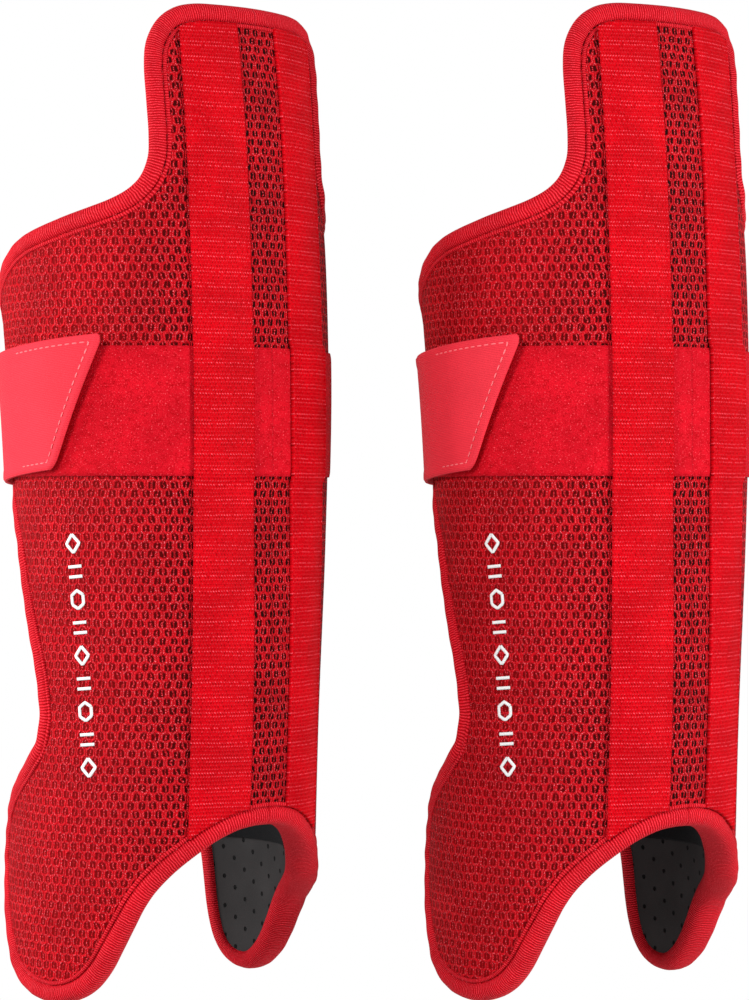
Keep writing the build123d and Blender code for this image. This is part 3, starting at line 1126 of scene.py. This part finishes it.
@dataclass
class EdgeBinding:
    """The rolled ribbed tape round one half's edge, with its sewn bead.

    Attributes:
        bench: the guard it belongs to.
        side: which half.
        profile: the roll's section: distance in from the edge and offset outwards.
        bead: middle and radius of the twisted bead along the inner seam.
        pucker: depth of the small gathers on tight bends.
    """

    bench: Bench
    side: Side
    profile: tuple[tuple[float, float], ...] = (
        (7.5, -0.9), (7.2, 0.1), (6.3, 0.95), (5.0, 1.45), (3.6, 1.5), (2.2, 1.1),
        (1.0, 0.2), (0.2, -1.3), (-0.2, -3.4), (-0.25, -5.6), (-0.1, -7.8), (0.5, -9.7),
        (1.7, -11.2), (3.3, -12.1), (5.1, -12.4), (6.7, -12.0), (7.7, -11.0), (8.0, -9.6),
        (7.9, -6.5), (7.8, -3.5),
    )
    bead: tuple[float, float, float] = (8.35, 0.15, 0.85)
    pucker: float = 0.22

    def rings(self, profile: np.ndarray) -> tuple[np.ndarray, np.ndarray]:
        """The profile carried along the outline.

        A point at distance q in and offset d out stands at path + q n, d, with n the
        inward normal; d also takes the gathers, a sine along the path that grows where
        the path bends.

        Args:
            profile: points of (q, d).

        Returns:
            Rings of points and their map.
        """
        outline = self.bench.outline
        path, inward = outline.path, outline.inward
        run = np.arange(len(path)) * outline.step
        turn = np.gradient(np.unwrap(np.arctan2(inward[:, 1], inward[:, 0]))) / outline.step
        tight = np.convolve(np.abs(turn), np.ones(9) / 9, "same")
        gather = self.pucker * (0.35 + 14 * np.minimum(tight, 0.08))
        wave = gather * (np.sin(run / 1.9) + 0.6 * np.sin(run / 4.3 + 1))
        q, d = profile[:, 0], profile[:, 1]
        at = path[:, None, :] + q[None, :, None] * inward[:, None, :]
        at[:, :, 0] = np.maximum(at[:, :, 0], 0)
        at[[0, -1], :, 0] = 0
        swell = np.where(d > -11, 1.0, 0.6)[None, :] * wave[:, None] * ramp01(d, -3, 1)[None, :]
        signed = at[:, :, 0] * self.side.value
        points = self.bench.form.point(signed, at[:, :, 1], d[None, :] + swell)
        round_ = lengths(profile)
        uv = np.stack(np.broadcast_arrays(run[:, None], round_[None, :]), -1)
        return points, uv

    def build(self) -> bpy.types.Object:
        """Makes the roll and its bead as one sewn piece."""
        roll = Skin.tube(*self.rings(np.array(self.profile)))
        q, d, radius = self.bead
        turn = np.linspace(0, 2 * math.pi, 8, endpoint=False)
        ring = np.stack([q + radius * np.cos(turn), d + radius * np.sin(turn)], 1)
        roll = roll.joined(Skin.tube(*self.rings(ring)))
        word = self.side.word
        item = roll.build(f"{word}_edge_binding", self.bench.place, BINDING.material())
        node = self.bench.node
        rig.replaces(item, node("tongue_binding"), node("arch_binding"),
                    node(f"{word}_wing_binding"))
        self.bench.fold(item, self.side)
        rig.slot(item, "binding")
        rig.padded(item, fill=0.9)
        return item


@dataclass
class FrontWebbing:
    """One half's hook tape down the front and the loop band round it.

    Attributes:
        bench: the guard they belong to.
        side: which half.
        tape: the tape's two edges along the surface from the front centre.
        band: the band's two heights.
        thick: webbing thickness.
        selvedge: how far the tape's woven edges stand up.
    """

    bench: Bench
    side: Side
    tape: tuple[float, float] = (10.0, 35.4)
    band: tuple[float, float] = (213.5, 265.5)
    thick: float = 1.2
    selvedge: float = 0.35

    def lift(self, s: np.ndarray, z: np.ndarray) -> np.ndarray:
        """How far the cover stands out below the webbing."""
        gap = self.bench.outline.distance(np.abs(s), z)
        crown = CROWN * (1 - np.exp(-gap / CROWN_REACH))
        return COVER_REST + crown + UNEVEN * ripple(s, z)

    def hook_tape(self) -> Skin:
        """The tape: a strip that climbs smoothly over the loop band.

        It stands at the cover's height + 0.1, + 1.3 over the band by smooth steps 5 mm
        long, and its edges rise by the selvedge within 1.2 mm.
        """
        outline = self.bench.outline
        path = outline.moved(7.6)
        tip = int(np.argmin(path[:, 1]))
        rims = [0, 0.5, 1.0, 1.6], [23.8, 24.4, 24.9, 25.4]
        width = np.concatenate([rims[0], np.linspace(3, 22.4, 12), rims[1]])
        across = self.tape[0] + width * (self.tape[1] - self.tape[0]) / 25.4
        arch = path[tip:][::-1]
        low = np.interp(across, np.maximum.accumulate(arch[:, 0]), arch[:, 1])
        tongue = path[: tip // 3]
        edge = int(np.argmax(tongue[:, 0] > 41)) or len(tongue)
        high = np.interp(across, np.maximum.accumulate(tongue[:edge, 0]), tongue[:edge, 1])
        t = np.linspace(0, 1, 240)[:, None]
        z = low[None, :] + t * (high - low)[None, :]
        s = np.repeat(across[None, :], 240, axis=0) * self.side.value
        under, above = self.band
        over = ramp01(z, under - 4, under + 1) - ramp01(z, above - 1, above + 4)
        rim = np.minimum(width, 25.4 - width)[None, :]
        raised = self.selvedge * np.exp(-((rim - 0.8) ** 2) / 0.35)
        base = self.lift(s, z) + 0.1 + 1.3 * over
        return self.bench.layer(s, z, base + self.thick + raised, base)

    def loop_band(self) -> Skin:
        """The band: a level strip from the front centre to the wing's bound edge."""
        z = np.linspace(self.band[0], self.band[1], 30)
        _, outer = self.bench.outline.span(z, 8.0)
        t = np.linspace(0, 1, 120)[None, :]
        s = outer[:, None] * t * self.side.value
        zz = np.repeat(z[:, None], 120, axis=1)
        edge = np.minimum(zz - self.band[0], self.band[1] - zz)
        base = self.lift(s, zz) + 0.05
        puff = 0.35 * ramp01(edge, 0, 2.5)
        return self.bench.layer(s, zz, base + 0.75 + puff, base)

    def build(self) -> dict[str, bpy.types.Object]:
        """Makes the tape and the band."""
        word, place, node = self.side.word, self.bench.place, self.bench.node
        tape = self.hook_tape().build(f"{word}_hook_tape", place, HOOKS.material())
        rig.replaces(tape, node(f"{word}_hook_tape"))
        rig.ride(tape, node("front"))
        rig.slot(tape, "hook_tape")
        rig.sheet(tape, flat=(0.0254, 0.325), held="stretched", rests_on=[node("front_cover")])
        band = self.loop_band().build(f"{word}_loop_band", place, LOOPS.material())
        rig.replaces(band, node("front_loop_band"), node(f"{word}_wing_loop_band"))
        self.bench.fold(band, self.side)
        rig.slot(band, "loop_web")
        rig.sheet(band, flat=(0.052, 0.165), held="stretched", rests_on=[node("front_cover")])
        return {"tape": tape, "band": band}


@dataclass
class CalfStrap:
    """The elastic strap: sewn root, run behind the calf and slanted stitched end.

    Attributes:
        bench: the guard it belongs to.
        width: the strap's width.
        middle: height of its middle beside the leg axis.
        rise: how much it rises for each millimetre forwards.
        inner: offset of its inner face from the form.
        thick: its thickness.
        root: angle of the sewn root on the far wing.
        end_top: angle where the upper edge ends, counted round the back.
        end_low: the same for the lower edge.
        radius: turns angles round the leg into lengths along the strap.
    """

    bench: Bench
    width: float = 52.0
    middle: float = 240.8
    rise: float = 0.1
    inner: float = 2.6
    thick: float = 1.7
    root: float = 122.0
    end_top: float = 301.8
    end_low: float = 279.5
    radius: float = 70.0

    def at(self, degrees: np.ndarray, across: np.ndarray, out: np.ndarray) -> np.ndarray:
        """Points of the strap.

        Args:
            degrees: angle round the leg from the front, by the far side.
            across: millimetres above the strap's middle.
            out: distance out from the form.

        Returns:
            Points about the leg axis; the middle stands at height middle - rise y.
        """
        degrees, across, out = np.broadcast_arrays(degrees, across, out)
        z = np.full(degrees.shape, self.middle)
        turn = np.radians(degrees)
        for _ in range(2):
            _, b, back = self.bench.form.sections(z)
            z = self.middle - self.rise * (back - b * np.cos(turn)) + across
        a, b, back = self.bench.form.sections(z)
        x = (a + out) * np.sin(turn)
        return np.stack([x, back - (b + out) * np.cos(turn), z], -1)

    def end(self, across: np.ndarray, short: float = 0.0) -> np.ndarray:
        """The angle of the slanted end at a height across the strap, with round corners."""
        t = across / self.width + 0.5
        corner = 2.2 * (np.exp(-(1 - t) * self.width / 1.6) + np.exp(-t * self.width / 1.6))
        return self.end_low + (self.end_top - self.end_low) * t - corner - short

    def run(self, start: float, stop: float | None, columns: int) -> Skin:
        """A stretch of the strap, with a folded hem along both edges and the end.

        The outer face stands at inner + thick, 0.3 prouder within 3.2 mm of an edge, and
        rounds off within the last millimetre.

        Args:
            start: first angle.
            stop: last angle, or None for the slanted end.
            columns: points along it.

        Returns:
            The closed skin.
        """
        half = self.width / 2
        across = np.concatenate(
            [[-half, -half + 0.35, -half + 0.9], np.linspace(-half + 1.8, half - 1.8, 34),
             [half - 0.9, half - 0.35, half]]
        )
        last = np.full_like(across, stop) if stop is not None else self.end(across)
        t = np.concatenate([np.linspace(0, 0.97, columns), [0.985, 0.993, 0.998, 1.0]])
        degrees = start + (last - start)[:, None] * t[None, :]
        reach = np.radians(np.abs(last[:, None] - degrees)) * self.radius
        edge = np.minimum(half - np.abs(across), 99)[:, None]
        edge = np.minimum(edge, reach) if stop is None else np.repeat(edge, len(t), axis=1)
        hem = 0.32 * (1 - ramp01(edge, 3.0, 3.8)) - 0.55 * (1 - ramp01(edge, 0, 1.0))
        lift = self.lift(degrees)
        out = self.inner + self.thick + hem + lift
        zero = np.zeros_like(degrees)
        front = self.at(degrees, across[:, None] + zero, out)
        under = self.inner + lift + 0.25 * (1 - ramp01(edge, 0, 1))
        back = self.at(degrees, across[:, None] + zero, under)
        uv = np.stack([np.radians(degrees) * self.radius, across[:, None] + zero], -1)
        return Skin.slab(front, back, uv)

    def lift(self, degrees: np.ndarray) -> np.ndarray:
        """How far the strap stands off: its stiff end springs up a little."""
        return 2.2 * ramp01(degrees, 258, 300) + 0.25

    def stitches(self) -> Skin:
        """A run of short stitches, 3 mm long every 4 mm, 3 mm inside the tab's edges.

        Each stitch is a tube of eight rings along its length, its radius falling to
        nothing at both ends and its ends sinking into the strap.
        """
        half = self.width / 2 - 3.0
        arc = 57.3 / self.radius
        corner_top = self.end(np.array(half), 3.4)
        corner_low = self.end(np.array(-half), 3.4)
        top = np.arange(262.0, corner_top, 0.2)
        low = np.arange(262.0, corner_low, 0.2)[::-1]
        side = np.linspace(half, -half, 260)
        degrees = np.concatenate([top, self.end(side, 3.4), low])
        across = np.concatenate([np.full_like(top, half), side, np.full_like(low, -half)])
        metric = np.stack([degrees / arc, across], 1)
        run = lengths(metric)
        starts = np.arange(1.0, run[-1] - 3.0, 3.4)
        t = np.linspace(0, 1, 7)
        where = starts[:, None] + 2.5 * t[None, :]
        d = np.interp(where, run, degrees)
        a = np.interp(where, run, across)
        turn = np.linspace(0, 2 * math.pi, 6, endpoint=False)
        size = 0.33 * np.sqrt(np.maximum(1 - (2 * t - 1) ** 4, 0.02))
        ahead_d = np.gradient(d, axis=1) / arc
        ahead_a = np.gradient(a, axis=1)
        norm = np.hypot(ahead_d, ahead_a)
        n_d, n_a = -ahead_a / norm, ahead_d / norm
        shift = size[None, :, None] * np.cos(turn)[None, None, :]
        rise = size[None, :, None] * np.sin(turn)[None, None, :] * 0.8
        dd = d[:, :, None] + shift * n_d[:, :, None] * arc
        aa = a[:, :, None] + shift * n_a[:, :, None]
        out = self.inner + self.thick + self.lift(dd) + 0.18 + rise
        points = self.at(dd, aa, out)
        uv = np.stack([dd / arc, aa], -1)
        skins = [Skin.tube(ring, flat) for ring, flat in zip(points, uv)]
        return skins[0].joined(*skins[1:])

    def patch(self) -> Skin:
        """The hook patch under the tab, short of its edges by 3 mm."""
        half = self.width / 2 - 3.0
        across = np.linspace(-half, half, 20)
        last = self.end(across, 3.2)
        t = np.linspace(0, 1, 30)
        degrees = (last - 30.0)[:, None] + 30.0 * t[None, :]
        zero = np.zeros_like(degrees)
        lift = self.lift(degrees) - 0.25
        front = self.at(degrees, across[:, None] + zero, self.inner - 0.05 + lift)
        back = self.at(degrees, across[:, None] + zero, self.inner - 0.95 + lift * 0.9)
        uv = np.stack([np.radians(degrees) * self.radius, across[:, None] + zero], -1)
        return Skin.slab(front, back, uv)

    def build(self) -> dict[str, bpy.types.Object]:
        """Makes the strap's two lengths, its patch and its stitching."""
        place, node, spot = self.bench.place, self.bench.node, self.bench.spot
        root = self.run(self.root, 180.0, 40).build("strap_root", place, STRAPPING.material())
        reach = self.run(180.0, None, 84).build("strap_reach", place, STRAPPING.material())
        patch = self.patch().build("hook_patch", place, HOOKS.material())
        thread = self.stitches().build("strap_stitches", place, THREAD.material())
        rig.replaces(root, node("strap_anchor"), node("strap"))
        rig.replaces(reach, node("strap"), node("strap_tab"))
        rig.replaces(patch, node("hook_patch"))
        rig.blend(root, node("far_wing"), node("strap_band"),
                 start=spot(145.0, 235.0, 4.0), end=spot(156.0, 235.0, 4.0))
        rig.blend(reach, node("strap_band"), node("strap_end"),
                 start=spot(-126.0, 238.0, 4.0), end=spot(-110.0, 238.0, 4.0))
        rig.ride(patch, node("strap_end"))
        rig.ride(thread, node("strap_end"))
        for item in (root, reach):
            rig.slot(item, "elastic")
        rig.slot(patch, "hook_tape")
        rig.slot(thread, "elastic")
        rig.sheet(root, flat=(0.052, 0.07), held="stretched", rests_on=[node("far_wing_cover")])
        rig.sheet(reach, flat=(0.052, 0.137), held="stretched", rests_on=[node("near_wing_cover")],
                 with_pieces=[thread])
        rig.sheet(patch, flat=(0.046, 0.038), held="stretched",
                 rests_on=[node("near_wing_loop_band")])
        return {"root": root, "reach": reach, "patch": patch, "thread": thread}


class Mark(Enum):
    """The plain printed marks: open outlines and bars, none of them a letter."""

    DIAMOND = "diamond"
    BARS = "bars"
    HEXAGON = "hexagon"

    def strokes(self) -> list[np.ndarray]:
        """The mark's strokes as points in a box 2 wide and 2 high."""
        if self is Mark.DIAMOND:
            return [np.array([(0, 1), (1, 0), (0, -1), (-1, 0), (0, 1)], float)]
        if self is Mark.BARS:
            return [np.array([(-1, y), (1, y)], float) for y in (-0.55, 0.55)]
        turn = np.radians(np.arange(0, 361, 60) + 30)
        return [np.stack([np.cos(turn), np.sin(turn)], 1)]


@dataclass
class SideMarks:
    """The column of plain marks printed down the near wing.

    Attributes:
        bench: the guard they belong to.
        top: angle and height of the first mark.
        bottom: angle and height of the last.
        half_wide: half a mark's width.
        half_high: half a mark's height.
        stroke: width of its strokes.
    """

    bench: Bench
    top: tuple[float, float] = (-76.5, 186.5)
    bottom: tuple[float, float] = (-70.2, 96.5)
    half_wide: float = 3.2
    half_high: float = 3.7
    stroke: float = 1.25

    def build(self) -> bpy.types.Object:
        """Makes every mark as thin raised strokes in one printed piece."""
        form = self.bench.form
        order = [Mark.DIAMOND, Mark.BARS, Mark.HEXAGON, Mark.BARS] * 2 + [Mark.DIAMOND]
        ends = np.array([self.top, self.bottom])
        s_ends = form.arc(ends[:, 0], ends[:, 1])
        down = np.array([s_ends[1] - s_ends[0], ends[1, 1] - ends[0, 1]])
        down /= np.linalg.norm(down)
        over = np.array([-down[1], down[0]])
        webbing = FrontWebbing(self.bench, Side.NEAR)
        skins = []
        for i, mark in enumerate(order):
            t = i / (len(order) - 1)
            middle = np.array([s_ends[0] + t * (s_ends[1] - s_ends[0]),
                               ends[0, 1] + t * (ends[1, 1] - ends[0, 1])])
            for line in mark.strokes():
                flat = middle + line[:, :1] * self.half_wide * over
                flat = flat - line[:, 1:] * self.half_high * down
                run = lengths(flat)
                even = np.linspace(0, run[-1], 26)
                path = np.stack([np.interp(even, run, flat[:, k]) for k in (0, 1)], 1)
                along = np.gradient(path, axis=0)
                along /= np.linalg.norm(along, axis=1, keepdims=True)
                away = np.stack([-along[:, 1], along[:, 0]], 1) * self.stroke / 2
                sides = np.stack([path - away, path, path + away], 1)
                s, z = sides[..., 0], sides[..., 1]
                base = webbing.lift(s, z)
                skins.append(self.bench.layer(s, z, base + 0.32, base - 0.1))
        item = skins[0].joined(*skins[1:]).build("side_marks", self.bench.place, PRINT.material())
        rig.replaces(item, self.bench.node("near_side_marks"))
        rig.ride(item, self.bench.node("near_wing"))
        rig.slot(item, "print")
        return item


@dataclass
class Guard:
    """One whole shin guard.

    Attributes:
        place: where it stands.
        form: its leg form.
    """

    place: Place
    form: LegForm

    def build(self) -> None:
        """Builds every sub-assembly of the guard."""
        for side in Side:
            bench = Bench(self.place, self.form, Outline.of(self.form, side))
            PaddedShell(bench, side).build()
            EdgeBinding(bench, side).build()
            FrontWebbing(bench, side).build()
        bench = Bench(self.place, self.form, Outline.of(self.form, Side.NEAR))
        CalfStrap(bench).build()
        SideMarks(bench).build()
        plate = frame["nodes"][bench.node("shin_plate")]
        plate.data.materials.clear()
        plate.data.materials.append(PLATE.material())
        log.info("%s guard done", self.place.name)


@dataclass
class Studio:
    """Floor, soft lights and the camera.

    Attributes:
        eye: the camera's row point.
        lens: focal length on a 36 mm frame.
        fill: strength of the white surroundings as a light; seen, they are plain white.
    """

    eye: Row = (0.088, -1.3, 0.204)
    lens: float = 111.43
    fill: float = 0.42

    def light(self, name: str, at: Row, aim: Row, size: float, power: float,
              colour: Colour = (1.0, 1.0, 1.0)) -> None:
        """Adds a square area light that faces a point."""
        lamp = bpy.data.lights.new(name, "AREA")
        lamp.shape = "SQUARE"
        lamp.size = size
        lamp.energy = power
        lamp.color = colour
        item = placed(name, lamp)
        item.location = at
        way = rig.Vector(aim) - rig.Vector(at)
        item.rotation_euler = way.to_track_quat("-Z", "Y").to_euler()

    def build(self) -> None:
        """Sets the floor, world, lights and camera."""
        x, y = np.meshgrid(np.linspace(-3, 3.2, 5), np.linspace(-3, 3, 5))
        ground = np.stack([x, y, np.full_like(x, -0.9)], -1).reshape(-1, 3)
        mesh = bpy.data.meshes.new("floor")
        mesh.from_pydata(ground.tolist(), [], Skin.grid_quads(5, 5).tolist())
        mesh.materials.append(FLOOR.material())
        floor = placed("floor", mesh)
        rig.stage(floor)

        world = bpy.data.worlds.new("studio")
        bpy.context.scene.world = world
        world.use_nodes = True
        desk = Desk(world.node_tree)
        sky = world.node_tree.nodes["Background"]
        sky.inputs["Color"].default_value = (1.0, 1.0, 1.0, 1.0)
        seen = desk.node("ShaderNodeLightPath").outputs["Is Camera Ray"]
        desk.feed(sky.inputs["Strength"], desk.madd(seen, 1.0 - self.fill, self.fill))
        middle = (0.088, 0.0, 0.2)
        self.light("key", (-0.8, -1.3, 0.9), middle, 0.45, 17.0)
        self.light("left_rim", (-1.2, -0.1, 0.35), middle, 0.5, 13.0)
        self.light("right_rim", (1.3, -0.8, 0.35), middle, 0.5, 19.0)

        lens = bpy.data.cameras.new("camera")
        lens.lens = self.lens
        lens.sensor_width = 36.0
        lens.clip_start = 0.05
        camera = placed("camera", lens)
        camera.location = self.eye
        camera.rotation_euler = (math.pi / 2, 0.0, 0.0)
        bpy.context.scene.camera = camera
        bpy.context.scene.view_settings.view_transform = "Standard"


def main() -> None:
    logging.basicConfig(level=logging.INFO, format="%(message)s")
    cad_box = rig.bounds()
    form = LegForm()
    Guard(Place("left", 0.0, 43.9), form).build()
    Guard(Place("right", 176.0, 36.1), form).build()
    Studio().build()
    sizes = {"cad": plain(cad_box), "visual": plain(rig.bounds())}
    with open("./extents.json", "w", encoding="utf-8") as file:
        json.dump(sizes, file)


def plain(box: object) -> list[list[float]]:
    """A bounding box as plain lists of numbers."""
    return [[float(value) for value in corner] for corner in box]


if __name__ == "__main__":
    main()
